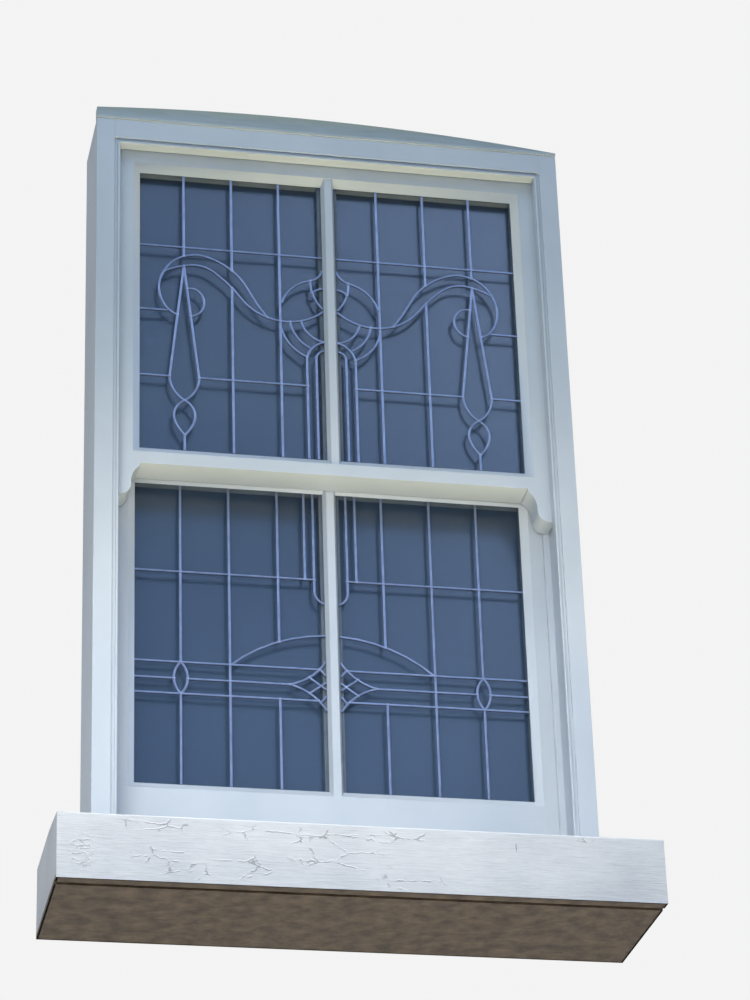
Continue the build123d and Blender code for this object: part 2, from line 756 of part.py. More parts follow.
def sash_lifts():
    """Hook lifts on the inner face of the bottom rail."""
    width, thick, height = lift_plate
    y0 = lower_y + sash_thickness
    z0 = sill_z(bead_y) + staff_bead_width + lift_height - height / 2
    shelf = z0 + height - lift_thickness
    tip = y0 + lift_reach
    face = outline((y0, z0), (y0 + thick, z0), (y0 + thick, shelf), (tip - lift_thickness, shelf),
                   (tip - lift_thickness, shelf - lift_lip), (tip, shelf - lift_lip), (tip, z0 + height),
                   (y0, z0 + height))
    face = soften(face, lift_round, (tip, z0 + height))
    return [along_x(face, x - width / 2, x + width / 2) for x in (-fastener_offset, fastener_offset)]


def save_pair(left, name):
    """Writes a left-hand piece and its mirror image; name holds a place for the side."""
    save(left, name.format("left"))
    save(mirrored(left), name.format("right"))


def save_frame():
    """Everything that stays put."""
    sill = timber_sill()
    save(stone_sill(), "stone_sill")
    save(sill, "timber_sill")
    save_pair(left_jamb(sill), "{}_jamb")
    save(frame_head(), "frame_head")
    save_pair(left_outer_lining(sill), "{}_outer_lining")
    save(head_outer_lining(), "head_outer_lining")
    save(head_scribe(), "head_scribe")
    save_pair(left_parting_bead(sill), "{}_parting_bead")
    save(head_parting_bead(), "head_parting_bead")
    save_pair(left_staff_bead(), "{}_staff_bead")
    save(cross_staff_bead(head_z, -1), "head_staff_bead")
    save(cross_staff_bead(sill_z(bead_y), 1), "sill_staff_bead")
    save_pair(balance_tube(upper_y + sash_thickness / 2), "upper_{}_balance_tube")
    save_pair(balance_tube(lower_y + sash_thickness / 2), "lower_{}_balance_tube")


def save_glazing(name, y, low, lines):
    """Beads, sealed units and leadwork of one sash."""
    high = low + pane_height
    beads = left_glazing_beads(y, low, high)
    save_set(beads, name + "_left_glazing_beads")
    save_set([mirrored(bead) for bead in beads], name + "_right_glazing_beads")
    outer, spacer, inner = left_unit(y, low, high)
    save_pair(outer, name + "_{}_outer_pane")
    save_pair(spacer, name + "_{}_spacer")
    save_pair(inner, name + "_{}_inner_pane")
    save_pair(left_leadwork(lines, y, low), name + "_{}_leadwork")


def save_upper_sash():
    """Upper sash, which slides down in the outer track."""
    stile = upper_left_stile()
    stiles = stile + mirrored(stile)
    top = upper_top_rail(stiles)
    meeting = upper_meeting_rail_piece(stiles)
    save_pair(stile, "upper_{}_stile")
    save(top, "upper_top_rail")
    save(meeting, "upper_meeting_rail")
    save(glazing_bar(upper_y, upper_sight, upper_top_sight, top + meeting), "upper_glazing_bar")
    save_glazing("upper", upper_y, upper_sight, upper_lead_lines())
    floor = horn_z + groove_floor
    reach = balance_bottom + balance_overlap + travel
    save_pair(balance_rod(upper_y, floor, reach), "upper_{}_balance_rod")
    save_set(fastener_keeps(), "fastener_keeps")


def save_lower_sash():
    """Lower sash, which slides up in the inner track, with its fasteners and lifts."""
    stile = lower_left_stile()
    stiles = stile + mirrored(stile)
    meeting = lower_meeting_rail_piece(stiles)
    bottom = lower_bottom_rail(stiles)
    save_pair(stile, "lower_{}_stile")
    save(meeting, "lower_meeting_rail")
    save(bottom, "lower_bottom_rail")
    save(glazing_bar(lower_y, lower_sight, lower_top_sight, meeting + bottom), "lower_glazing_bar")
    save_glazing("lower", lower_y, lower_sight, lower_lead_lines())
    floor = lower_bottom + sash_thickness * slope + groove_floor
    save_pair(balance_rod(lower_y, floor, balance_bottom + balance_overlap), "lower_{}_balance_rod")
    save_set(sash_lifts(), "sash_lifts")
    save_set(fastener_bases(), "fastener_bases")
    save(fastener_lever(-1), "left_fastener_lever")
    save(fastener_lever(1), "right_fastener_lever")


def main():
    """Builds and writes the whole window."""
    os.makedirs("parts", exist_ok=True)
    save_frame()
    save_upper_sash()
    save_lower_sash()


main()
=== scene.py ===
# %% [markdown]
# # A leaded sash window, dressed for a picture
#
# The window is already built as exact solids. This lesson loads those solids, puts the camera
# where the photographer stood, and gives every surface the finish of the real thing: brushed white
# paint on the timber, cracked masonry paint on the stone, dark sealed glass with soft lead strips,
# and bright metal where the sashes are worked from inside.

# %% Load the solids
import bpy
import bmesh
from math import atan2, ceil, cos, dist, hypot, pi, radians, sin, sqrt
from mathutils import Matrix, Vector


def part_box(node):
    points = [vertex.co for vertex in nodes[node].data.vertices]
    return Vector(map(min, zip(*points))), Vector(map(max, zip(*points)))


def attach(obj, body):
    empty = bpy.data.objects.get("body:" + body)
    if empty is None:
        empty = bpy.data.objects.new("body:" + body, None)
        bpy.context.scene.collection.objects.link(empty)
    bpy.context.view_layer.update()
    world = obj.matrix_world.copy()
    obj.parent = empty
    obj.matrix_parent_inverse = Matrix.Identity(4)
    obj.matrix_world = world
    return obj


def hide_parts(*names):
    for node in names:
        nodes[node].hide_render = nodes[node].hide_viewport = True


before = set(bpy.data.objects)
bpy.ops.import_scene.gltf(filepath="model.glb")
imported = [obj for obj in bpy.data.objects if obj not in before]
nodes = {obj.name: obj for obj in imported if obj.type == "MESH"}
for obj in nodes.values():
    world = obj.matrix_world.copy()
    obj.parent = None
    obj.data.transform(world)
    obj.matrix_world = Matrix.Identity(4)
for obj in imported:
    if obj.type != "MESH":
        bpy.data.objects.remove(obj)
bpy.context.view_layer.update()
scene = bpy.context.scene

# %% [markdown]
# ## The camera
#
# The photograph was taken from the pavement with a long lens, so the uprights lean together only a
# little and the heads run downhill to the right. A place, three angles and a focal length say all
# of that. They could be tried by eye, but here they were solved from the frame's straight edges,
# because a window shows every degree of error along its sides.

# %% Camera
camera_place = (-1.2270, -5.9798, -2.2624)
camera_turn = (117.426, 1.729, -11.393)       # degrees
camera_lens = 121.97                          # millimetres on a 36 mm sensor


def new_object(name, data):
    """A new object in the scene."""
    thing = bpy.data.objects.new(name, data)
    scene.collection.objects.link(thing)
    return thing


camera_data = bpy.data.cameras.new("photo_camera")
camera_data.lens = camera_lens
camera_data.sensor_width = 36.0
camera_data.clip_end = 100.0
camera = new_object("photo_camera", camera_data)
camera.location = camera_place
camera.rotation_euler = [radians(angle) for angle in camera_turn]
scene.camera = camera
print("camera distance to the glass:", round(abs(camera_place[1]), 2), "m")

# %% [markdown]
# ## Starting a finish
#
# Every finish below is a small network of shader nodes. It could be wired by hand in the shader
# editor, but a few helpers keep the cells short. Textures read the object's own coordinates, in
# metres, so a brush mark has its true size and travels with a sash that slides.

# %% Helpers that start a material


def feed(tree, socket, value):
    """Wires a socket to another, or sets it to a value. A colour may leave out its alpha."""
    if isinstance(value, bpy.types.NodeSocket):
        tree.links.new(value, socket)
    elif socket.type == "RGBA" and len(value) == 3:
        socket.default_value = (*value, 1.0)
    else:
        socket.default_value = value


def add(tree, kind, *values, **settings):
    """Adds a node and feeds its inputs in turn. A setting feeds the input or the property it names."""
    node = tree.nodes.new("ShaderNode" + kind)
    for socket, value in zip(node.inputs, values):
        feed(tree, socket, value)
    for name, value in settings.items():
        label = name.replace("_", " ")
        if label in node.inputs:
            feed(tree, node.inputs[label], value)
        else:
            setattr(node, name, value)
    return node


def new_material(name):
    """A new node material, with its tree, its surface shader and a source of coordinates."""
    material = bpy.data.materials.new(name)
    material.use_nodes = True
    tree = material.node_tree
    return material, tree, tree.nodes["Principled BSDF"], add(tree, "TexCoord").outputs["Object"]


def surface(tree, shader, colour, roughness, metallic=0.0):
    """Gives a surface its colour, its roughness and its share of metal."""
    for name, value in (("Base Color", colour), ("Roughness", roughness), ("Metallic", metallic)):
        feed(tree, shader.inputs[name], value)


print("helpers: feed, add, new_material, surface")

# %% [markdown]
# ## Unevenness
#
# No real surface is one even colour or quite flat. Noise gives the unevenness, stretched
# coordinates give it a direction, a ramp turns it into colour, and a bump turns it into relief.

# %% Helpers for uneven surfaces


def stretched(tree, place, scale):
    """Coordinates stretched by a factor along each axis."""
    return add(tree, "Mapping", place, Scale=scale).outputs["Vector"]


def noise(tree, place, scale, detail=3.0, roughness=0.5):
    """A noise value between 0 and 1."""
    return add(tree, "TexNoise", place, Scale=scale, Detail=detail, Roughness=roughness).outputs["Fac"]


def ramp(tree, value, stops):
    """A colour ramp from (position, colour) stops."""
    node = add(tree, "ValToRGB", value)
    elements = node.color_ramp.elements
    while len(elements) < len(stops):
        elements.new(0.5)
    for element, (position, colour) in zip(elements, stops):
        element.position = position
        element.color = (*colour, 1.0)
    return node.outputs["Color"]


def bump(tree, shader, height, distance, strength):
    """Raises the shader's surface by a height in metres."""
    node = add(tree, "Bump", Strength=strength, Distance=distance, Height=height)
    previous = shader.inputs["Normal"].links
    if previous:
        tree.links.new(previous[0].from_socket, node.inputs["Normal"])
    tree.links.new(node.outputs["Normal"], shader.inputs["Normal"])


print("helpers: stretched, noise, ramp, bump")

# %% [markdown]
# ## Painted timber
#
# The joinery is softwood under several coats of white paint. Close up, the brush has left long
# shallow ridges that follow each member, and the colour drifts by a hair where the coats are
# thinner. One function makes the paint for a given direction: the noise is squeezed across the
# member and stretched along it. Uprights and rails take their own copies.

# %% Paint for timber
paint_light = (0.495, 0.545, 0.605)
paint_shade = (0.435, 0.486, 0.548)
paint_roughness = 0.42
shade_changes = 4.0           # per metre
brush_marks = 260.0           # ridges per metre across a member
brush_stretch = 0.035         # how drawn out they are along it
ridge_relief = (0.00025, 0.55)    # height in metres, and how strongly it shows
dimples = 55.0                # per metre
dimple_relief = (0.0006, 0.35)


def timber_paint(name, along):
    """White paint brushed along x, y or z."""
    material, tree, shader, place = new_material(name)
    scale = [1.0, 1.0, 1.0]
    scale["xyz".index(along)] = brush_stretch
    ridges = noise(tree, stretched(tree, place, scale), brush_marks, 2.0)
    drift = noise(tree, place, shade_changes)
    colour = ramp(tree, drift, [(0.32, paint_shade), (0.68, paint_light)])
    surface(tree, shader, colour, paint_roughness)
    bump(tree, shader, ridges, *ridge_relief)
    bump(tree, shader, noise(tree, place, dimples, 2.0), *dimple_relief)
    return material, tree, shader, place


upright_paint = timber_paint("paint_along_uprights", "z")[0]
rail_paint = timber_paint("paint_along_rails", "x")[0]
print("paint for timber:", upright_paint.name, rail_paint.name)

# %% [markdown]
# ## Masks
#
# Dirt, cracks and bare patches lie in some places only. A mask is a number from 0 to 1 at each
# point of a surface that says how much of the second finish shows there. Sums join masks, and a
# mix node lays one colour over another.

# %% Helpers for masks


def maths(tree, operation, first, second):
    """One sum on two values, each a socket or a number."""
    return add(tree, "Math", first, second, operation=operation).outputs["Value"]


def times(tree, first, second):
    """One value times another."""
    return maths(tree, "MULTIPLY", first, second)


def vectors(tree, operation, first, second):
    """One sum on two vectors, each a socket or a tuple."""
    return add(tree, "VectorMath", first, second, operation=operation).outputs["Vector"]


def along_axis(tree, vector, axis):
    """How far a vector reaches along X, Y or Z."""
    return add(tree, "SeparateXYZ", vector).outputs[axis]


def spread(tree, value, low, high):
    """Stretches a range of a value over 0 to 1."""
    return add(tree, "MapRange", value, low, high).outputs["Result"]


def blend(tree, amount, first, second):
    """Mixes two colours, each a socket or a tuple, by a value."""
    node = add(tree, "Mix", amount, data_type="RGBA")
    feed(tree, node.inputs[6], first)
    feed(tree, node.inputs[7], second)
    return node.outputs[2]


print("helpers: maths, times, vectors, along_axis, spread, blend")

# %% [markdown]
# ## Weathered and shaded board
#
# The board scribed to the arch sits right under the brickwork, where rain carries dirt down from
# the mortar. Its top edge has gone green and grey, and the stain thins out downwards. The same
# darkening also stands for the shadow that the brick arch casts on the board, so it is partly painted
# shade. It could be a painted image, but height and a streaky noise along the board give the same
# look at any size.

# %% Paint for the weathered board, with painted shade
# The stain is partly dirt and partly painted shade, the shadow cast by the brick arch.
stain_and_shade_colour = (0.180, 0.205, 0.130)
stain_and_shade_strength = 0.72
stain_and_shade_depth = 0.060           # metres below the highest point of the arch
streaks_up = 90.0             # streaks per metre of height
streak_stretch = (0.12, 1.0, 1.0)
height_share, streak_share = 0.75, 0.6
stain_and_shade_begins, stain_and_shade_is_full = 0.15, 1.0
arch_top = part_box("head_scribe")[1][2]


def weathered_and_shaded_paint():
    """Rail paint, stained and darkened by painted shade downwards from the top of the scribed board."""
    material, tree, shader, place = timber_paint("weathered_and_shaded_paint", "x")
    paint = shader.inputs["Base Color"].links[0].from_socket
    height = spread(tree, along_axis(tree, place, "Z"), arch_top - stain_and_shade_depth, arch_top)
    streaks = noise(tree, stretched(tree, place, streak_stretch), streaks_up, 4.0, 0.6)
    broken = maths(tree, "ADD", times(tree, height, height_share), times(tree, streaks, streak_share))
    amount = times(tree, spread(tree, broken, stain_and_shade_begins, stain_and_shade_is_full), stain_and_shade_strength)
    tree.links.new(blend(tree, amount, paint, stain_and_shade_colour), shader.inputs["Base Color"])
    return material


board_stain_and_shade_paint = weathered_and_shaded_paint()
print("stain reaches down to", round(arch_top - stain_and_shade_depth, 3), "m")

# %% [markdown]
# ## Where the stone is worn
#
# The stone sill carries a thick old coat that has crazed in a few places and flakes near its left
# end. Soft masks round named places on the front bring the damage up only where the real sill has
# it. Each place says how far across and up it lies, and its half width and half height, in metres.

# %% Places of wear on the stone
front_of_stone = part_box("stone_sill")[0][1]
worn_places = [
    (-0.390, 0.052, 0.070, 0.022), (-0.335, 0.024, 0.080, 0.022), (-0.225, 0.036, 0.075, 0.034),
    (-0.050, 0.060, 0.120, 0.032), (-0.110, 0.104, 0.200, 0.022), (-0.400, 0.112, 0.090, 0.016),
    (0.075, 0.112, 0.060, 0.014), (0.085, 0.022, 0.080, 0.022), (0.450, 0.121, 0.050, 0.007),
]
flaking_place = (-0.535, 0.052, 0.032, 0.050)
knife_nick = (0.290, 0.0997, 0.0011, 0.0110)
mask_depth = 0.05             # how far a mask reaches into the stone


def near(tree, place, centre, reach):
    """A mask that is 1 at a place on the object and falls to 0 at a reach along each axis."""
    shrunk = vectors(tree, "DIVIDE", vectors(tree, "SUBTRACT", place, centre), reach)
    length = add(tree, "VectorMath", shrunk, operation="LENGTH").outputs["Value"]
    return add(tree, "Math", 1.0, length, operation="SUBTRACT", use_clamp=True).outputs["Value"]


def masks_on_front(tree, place, spots):
    """The strongest of several masks at places on the stone's front."""
    strongest = None
    for across, up, half_width, half_height in spots:
        mask = near(tree, place, (across, front_of_stone, up), (half_width, mask_depth, half_height))
        strongest = mask if strongest is None else maths(tree, "MAXIMUM", strongest, mask)
    return strongest


print("worn places on the stone:", len(worn_places))

# %% [markdown]
# ## Cracks
#
# Old thick paint splits into a web, and each split edge curls up. The border between cells of a
# Voronoi texture is such a web. It is bent by noise, so that it wanders, and drawn out sideways, as
# cracks run on this sill. The same web, moved up by a millimetre or so, gives each dark crack a
# bright line above it, a painted highlight where the curled lip would catch the light. The dark of a
# crack is partly the gap itself and partly painted shade inside it.

# %% Cracks, with painted shade in them and painted highlights on their lips
# The crack colour is partly painted shade in the gap; the lip colour is a painted highlight.
crack_and_shade_colour = (0.145, 0.150, 0.165)
lip_highlight_colour = (0.880, 0.895, 0.920)
highlight_lift = 0.0015             # a bright lip lies this far above its crack
wanderings = 90.0             # turns of a crack per metre


def crack_line(tree, place, cells, bend, half_width, stretch):
    """A web of cracks that wander: 1 on a crack, 0 beyond its half width in metres."""
    warp = add(tree, "TexNoise", place, Scale=wanderings, Detail=3.0).outputs["Color"]
    bent_by = add(tree, "VectorMath", warp, operation="SCALE", Scale=bend).outputs["Vector"]
    wander = vectors(tree, "ADD", stretched(tree, place, stretch), bent_by)
    web = add(tree, "TexVoronoi", wander, feature="DISTANCE_TO_EDGE", Scale=cells)
    return spread(tree, web.outputs["Distance"], half_width * cells, 0.0)


def lay_cracks(tree, place, paint, where, darkness, *web):
    """Draws the painted highlights on the lips and then the dark cracks, partly painted shade, of one web
    over a paint colour.
    """
    highlight_line = crack_line(tree, vectors(tree, "ADD", place, (0, 0, -highlight_lift)), *web)
    split = crack_line(tree, place, *web)
    highlighted_coat = blend(tree, times(tree, highlight_line, where), paint, lip_highlight_colour)
    dark = times(tree, times(tree, split, where), darkness)
    return blend(tree, dark, highlighted_coat, crack_and_shade_colour), split


print("bright lips lie", highlight_lift * 1000, "mm above their cracks")

# %% [markdown]
# ## Bare stone
#
# The underside and the groove under the front edge were never painted, and the buff stone shows.
# Its colours are kept dark, as painted shade under the sill.
# The way a face points tells the underside from the rest. The groove's walls point sideways, so
# their place tells them instead.

# %% Masks for bare stone
# Bare stone, darkened to stand for the shade under the sill: partly painted shade.
bare_shaded_stone_light = (0.175, 0.135, 0.090)
bare_shaded_stone_dark = (0.070, 0.053, 0.036)
throat_behind = (front_of_stone + 0.006, front_of_stone + 0.008)      # where the mask begins and is full
throat_below = (0.0090, 0.0084)   # the same for its height


def facing_up(tree, low, high):
    """A mask from how far a face leans upwards: 0 at one end of a range and 1 at the other."""
    return spread(tree, along_axis(tree, add(tree, "NewGeometry").outputs["Normal"], "Z"), low, high)


def inside_throat(tree, place):
    """A mask for the walls of the drip groove, just behind the front's lower edge."""
    behind_edge = spread(tree, along_axis(tree, place, "Y"), *throat_behind)
    return times(tree, behind_edge, spread(tree, along_axis(tree, place, "Z"), *throat_below))


print("front of the stone:", round(front_of_stone, 4), "m")

# %% [markdown]
# ## Painted stone
#
# The coat was brushed from end to end, so its marks run sideways and are coarser than on timber.
# The layers go on in turn: paint first, then the cracks, the flakes and one nick by a knife, then a
# painted highlight on every face that leans up, which gives the bright arris, with bare stone last.
# Relief follows the same masks.

# %% Paint for stone
stone_light = (0.650, 0.664, 0.688)
stone_shade = (0.480, 0.501, 0.538)
# Painted highlight colour, laid on every face that leans up, the top arris among them.
arris_highlight_colour = (0.840, 0.860, 0.885)
stone_roughness = 0.55
paint_patches, stone_patches = 7.0, 26.0      # per metre
marks_per_metre, marks_stretch, marks_share = 400.0, (0.06, 1.0, 1.0), 0.85
ripples_per_metre, ripple_stretch = 95.0, (0.30, 1.0, 1.0)
crack_web = (0.85, 36.0, 0.0065, 0.00130, (0.38, 1.0, 1.0))   # darkness, cells, bend, half width, stretch
flake_web = (0.65, 100.0, 0.0090, 0.00120, (0.50, 1.0, 1.0))
crack_breaks, flake_breaks = 62.0, 120.0      # gaps along the cracks, per metre
# The upward lean brings in the painted highlight, the downward lean the bare stone with its painted
# shade.
upward, downward = (0.20, 0.75), (-0.4, -0.8)     # how far a face must lean up or down
marks_relief, ripple_relief = (0.0026, 1.0), (0.0030, 0.7)    # heights in metres, and strengths
flake_relief, crack_relief = (0.0012, 0.8), (0.0010, 0.8)


def stone_paint():
    """Thick cracked paint on the stone's face and ends, with a painted highlight on faces that lean up,
    and bare stone darkened by painted shade underneath.
    """
    material, tree, shader, place = new_material("cracked_paint_on_stone")
    marks = noise(tree, stretched(tree, place, marks_stretch), marks_per_metre, 3.0, 0.6)
    ripples = noise(tree, stretched(tree, place, ripple_stretch), ripples_per_metre, 4.0)
    shade = maths(tree, "ADD", noise(tree, place, paint_patches, 4.0), times(tree, marks, marks_share))
    paint = ramp(tree, spread(tree, shade, 0.55, 1.30), [(0.0, stone_shade), (1.0, stone_light)])
    worn = spread(tree, masks_on_front(tree, place, worn_places), 0.05, 0.35)
    worn = times(tree, worn, spread(tree, noise(tree, place, crack_breaks, 1.0), 0.36, 0.50))
    coat, cracks = lay_cracks(tree, place, paint, worn, *crack_web)
    flaking = spread(tree, masks_on_front(tree, place, [flaking_place]), 0.05, 0.50)
    flaking = times(tree, flaking, spread(tree, noise(tree, place, flake_breaks, 1.0), 0.40, 0.55))
    coat, flakes = lay_cracks(tree, place, coat, flaking, *flake_web)
    nick = spread(tree, masks_on_front(tree, place, [knife_nick]), 0.1, 0.4)
    coat = blend(tree, nick, coat, crack_and_shade_colour)
    # Painted highlight on every face that leans up, the top arris among them.
    coat = blend(tree, facing_up(tree, *upward), coat, arris_highlight_colour)
    patches = noise(tree, place, stone_patches, 6.0, 0.65)
    # Bare stone for the faces that lean down, darkened as painted shade.
    bare = ramp(tree, patches, [(0.35, bare_shaded_stone_dark), (0.66, bare_shaded_stone_light)])
    below = maths(tree, "MAXIMUM", facing_up(tree, *downward), inside_throat(tree, place))
    surface(tree, shader, blend(tree, below, coat, bare), stone_roughness)
    bump(tree, shader, marks, *marks_relief)
    bump(tree, shader, ripples, *ripple_relief)
    bump(tree, shader, times(tree, flakes, flaking), *flake_relief)
    bump(tree, shader, times(tree, cracks, worn), *crack_relief)
    return material


masonry_paint = stone_paint()
print("nodes in the stone's paint:", len(masonry_paint.node_tree.nodes))

# %% [markdown]
# ## Outer pane
#
# By day a window looks dark, because the room behind it is darker than the sky in front. The
# outer pane adds little of its own, a faint gloss and a hint of blue-green. Real refraction would
# be slow and grainy at this size, so the pane is simply almost see-through.

# %% Outer glass
outer_blue = (0.02, 0.04, 0.06)
outer_green = (0.03, 0.05, 0.06)
outer_share = 0.03            # how much of the pane's own colour shows
outer_gloss = 0.25            # half the usual


def clear_glass():
    """Outer pane: almost see-through, with a faint blue-green body."""
    material, tree, shader, place = new_material("clear_outer_glass")
    tint = ramp(tree, noise(tree, place, 2.0, 1.0), [(0.3, outer_blue), (0.7, outer_green)])
    surface(tree, shader, tint, 0.01)
    shader.inputs["Alpha"].default_value = outer_share
    shader.inputs["Specular IOR Level"].default_value = outer_gloss
    return material


outer_glass = clear_glass()
print("share of the outer pane's own colour:", outer_share)

# %% [markdown]
# ## Inner pane
#
# What shows in the glass is the sky's reflection over the dark room behind the sealed unit. The
# inner pane stands for both: its slate blue is painted shade for the dark room and painted reflection
# for the dulled sky, and it carries the stronger mirror. A clear mirror would draw every lead twice,
# so the inner pane is given a little roughness, which leaves only a faint soft reflection behind
# each lead.

# %% Inner glass
# The slate blue is painted shade for the dark room and painted reflection for the dulled sky.
room_shade_deep = (0.021, 0.038, 0.071)
room_shade_pale = (0.029, 0.049, 0.086)
inner_mirror_roughness = 0.25
inner_mirror_ior = 1.75            # bare glass has about 1.5


def painted_dark_room_glass():
    """Inner pane: a slate blue sheet, painted shade for the dark room and painted reflection of the sky,
    with a soft mirror.
    """
    material, tree, shader, place = new_material("dark_room_inner_glass")
    colour = ramp(tree, noise(tree, place, 1.8, 1.0), [(0.35, room_shade_deep), (0.68, room_shade_pale)])
    surface(tree, shader, colour, inner_mirror_roughness)
    shader.inputs["IOR"].default_value = inner_mirror_ior
    return material


inner_glass = painted_dark_room_glass()
print("glass:", outer_glass.name, inner_glass.name)

# %% [markdown]
# ## Lead
#
# The leads are soft strips stuck to the outer pane and rolled down. They are dull and blue-grey,
# with a narrow shine along the crown. Their sides that face down are painted darker, a painted shade
# that gives each lead a dark edge below. Where two strips meet they are dabbed with solder, which is
# a little brighter. Both are half metal, half dull skin, as an old soft metal is.

# %% Lead and solder
# Painted shade for the sides of a lead that face down.
lead_underside_shade = (0.030, 0.036, 0.052)
shade_lean = (-0.25, -0.75)    # how far down faces lean where the painted shade begins, and where it is full
lead_patches, skin_grain = 60.0, 320.0      # per metre
skin_relief = (0.0002, 0.4)


def soft_metal(name, light, dark, metallic, roughness):
    """Dull soft metal with a fine uneven skin, and painted shade on the sides that face down."""
    material, tree, shader, place = new_material(name)
    clean = ramp(tree, noise(tree, place, lead_patches), [(0.3, dark), (0.7, light)])
    colour = blend(tree, facing_up(tree, *shade_lean), clean, lead_underside_shade)
    surface(tree, shader, colour, roughness, metallic)
    bump(tree, shader, noise(tree, place, skin_grain), *skin_relief)
    return material


lead = soft_metal("dull_lead", (0.215, 0.262, 0.390), (0.150, 0.188, 0.290), 0.45, 0.30)
solder = soft_metal("solder", (0.30, 0.34, 0.44), (0.20, 0.23, 0.31), 0.60, 0.28)
print("metals:", lead.name, solder.name)

# %% [markdown]
# ## Plain finishes
#
# The spacer between the panes, the tubes of the balances, their steel strips and the brass
# fasteners are small and smooth. One function serves all four: a slight drift of colour, a fine
# grain, and the right gloss for each.

# %% Spacer, plastic, steel and brass
plain_patches = 18.0
plain_relief = (0.0001, 0.5)


def plain_finish(name, light, dark, roughness, metallic=0.0, grain=150.0):
    """A simple finish with slight colour drift and a fine grain."""
    material, tree, shader, place = new_material(name)
    colour = ramp(tree, noise(tree, place, plain_patches), [(0.3, dark), (0.7, light)])
    surface(tree, shader, colour, roughness, metallic)
    bump(tree, shader, noise(tree, place, grain), *plain_relief)
    return material


spacer_slate = plain_finish("slate_spacer", (0.120, 0.150, 0.190), (0.090, 0.115, 0.150), 0.6)
tube_white = plain_finish("white_balance_tube", (0.70, 0.70, 0.69), (0.62, 0.62, 0.61), 0.3)
rod_steel = plain_finish("bright_steel", (0.56, 0.57, 0.58), (0.45, 0.46, 0.48), 0.28, 1.0, 600.0)
brass = plain_finish("polished_brass", (0.80, 0.60, 0.27), (0.66, 0.47, 0.19), 0.22, 1.0, 90.0)
print("plain finishes:", [item.name for item in (spacer_slate, tube_white, rod_steel, brass)])

# %% [markdown]
# ## Each solid takes its finish
#
# The solids are named after the pieces of a window, so a word in a name is enough to choose its
# finish. Timber that stands upright takes the upright paint and the rest takes the rail paint, and
# the brush marks then turn at each joint, as a painter leaves them.

# %% Give each solid its finish
finishes = {"stone_sill": masonry_paint, "head_scribe": board_stain_and_shade_paint, "outer_pane": outer_glass,
            "inner_pane": inner_glass, "leadwork": lead, "spacer": spacer_slate, "fastener": brass,
            "sash_lifts": brass, "balance_tube": tube_white, "balance_rod": rod_steel}
upright_words = ("jamb", "stile", "bar", "glazing_beads")


def finish_for(name):
    """The material of a node, from the words in its name."""
    for word, finish in finishes.items():
        if word in name:
            return finish
    upright = name.startswith(("left_", "right_")) or any(word in name for word in upright_words)
    return upright_paint if upright else rail_paint


for name, node in nodes.items():
    for slot in node.material_slots:
        slot.material = finish_for(name)
print("upright pieces:", sum(finish_for(name) == upright_paint for name in nodes))

# %% [markdown]
# ## Softened edges
#
# No painted edge is truly sharp, and the thin line of light along an arris is most of what makes
# joinery look real. A bevel modifier rounds the hard edges by a millimetre or so on the pieces
# that stand proud of their neighbours. Stiles, rails and linings meet flush under paint, so they
# keep the rounding that their solids already have. The imported meshes are split along their hard
# edges, so a weld comes first.

# %% Soften the edges
edge_widths = {"stone_sill": 0.0035, "glazing_beads": 0.0004, "glazing_bar": 0.0005, "horn": 0.001,
               "parting_bead": 0.0008, "staff_bead": 0.0008, "head_scribe": 0.0010, "timber_sill": 0.0015,
               "fastener": 0.0005, "sash_lifts": 0.0006}
weld_reach = 0.00001
hard_edge = radians(35)


def soften(node, width):
    """Rounds a solid's hard edges by a width in metres."""
    node.modifiers.new("weld", "WELD").merge_threshold = weld_reach
    bevel = node.modifiers.new("softened_edges", "BEVEL")
    bevel.width = width
    bevel.segments = 2
    bevel.limit_method = "ANGLE"
    bevel.angle_limit = hard_edge
    node.modifiers.new("even_shading", "WEIGHTED_NORMAL")


softened = []
for name, node in nodes.items():
    width = next((size for word, size in edge_widths.items() if word in name), None)
    if width:
        soften(node, width)
        softened.append(name)
print("softened pieces:", len(softened))

# %% [markdown]
# ## The leadwork's lines
#
# The solids already carry the leads as flat strips. Their rounded crowns are made here as meshes.
# First come the lines: the drawing is ruled in squares over one pane, a straight lead is a list of
# its two ends, and a bent lead is a run of arcs, each given by a point that it passes through. The
# right-hand panes take the mirror image.

# %% Bent leads
squares_across = 389          # from the stile to the bar
squares_up = 662
arc_step = radians(7)


def arc_through(start, middle, end):
    """Points of the circular arc through three points."""
    (x1, y1), (x2, y2), (x3, y3) = start, middle, end
    d = 2 * (x1 * (y2 - y3) + x2 * (y3 - y1) + x3 * (y1 - y2))
    s1, s2, s3 = x1 * x1 + y1 * y1, x2 * x2 + y2 * y2, x3 * x3 + y3 * y3
    cx = (s1 * (y2 - y3) + s2 * (y3 - y1) + s3 * (y1 - y2)) / d
    cy = (s1 * (x3 - x2) + s2 * (x1 - x3) + s3 * (x2 - x1)) / d
    radius = hypot(x1 - cx, y1 - cy)
    first, via, last = (atan2(y - cy, x - cx) for x, y in (start, middle, end))
    sweep = (last - first) % (2 * pi)
    if (via - first) % (2 * pi) > sweep:
        sweep -= 2 * pi
    count = max(2, ceil(abs(sweep) / arc_step))
    turns = [first + sweep * i / count for i in range(count + 1)]
    return [(cx + radius * cos(t), cy + radius * sin(t)) for t in turns]


def bent(*points):
    """A lead bent to arcs that run on from each other: an end, a point on the way, an end, and so on."""
    line = [points[0]]
    for start, middle, end in zip(points[0::2], points[1::2], points[2::2]):
        line += arc_through(start, middle, end)[1:]
    return line


print("points on a quarter turn:", len(arc_through((1, 0), (0.7071, 0.7071), (0, 1))))

# %% [markdown]
# ## Upper pane
#
# Each upper pane has a ribbon that swings from a looped drop at the outer side to a knot at the
# bar, over a grid of plain leads. The upright leads stop where the ribbon crosses them, so the
# ribbon seems to lie in front.

# %% Leads of an upper pane


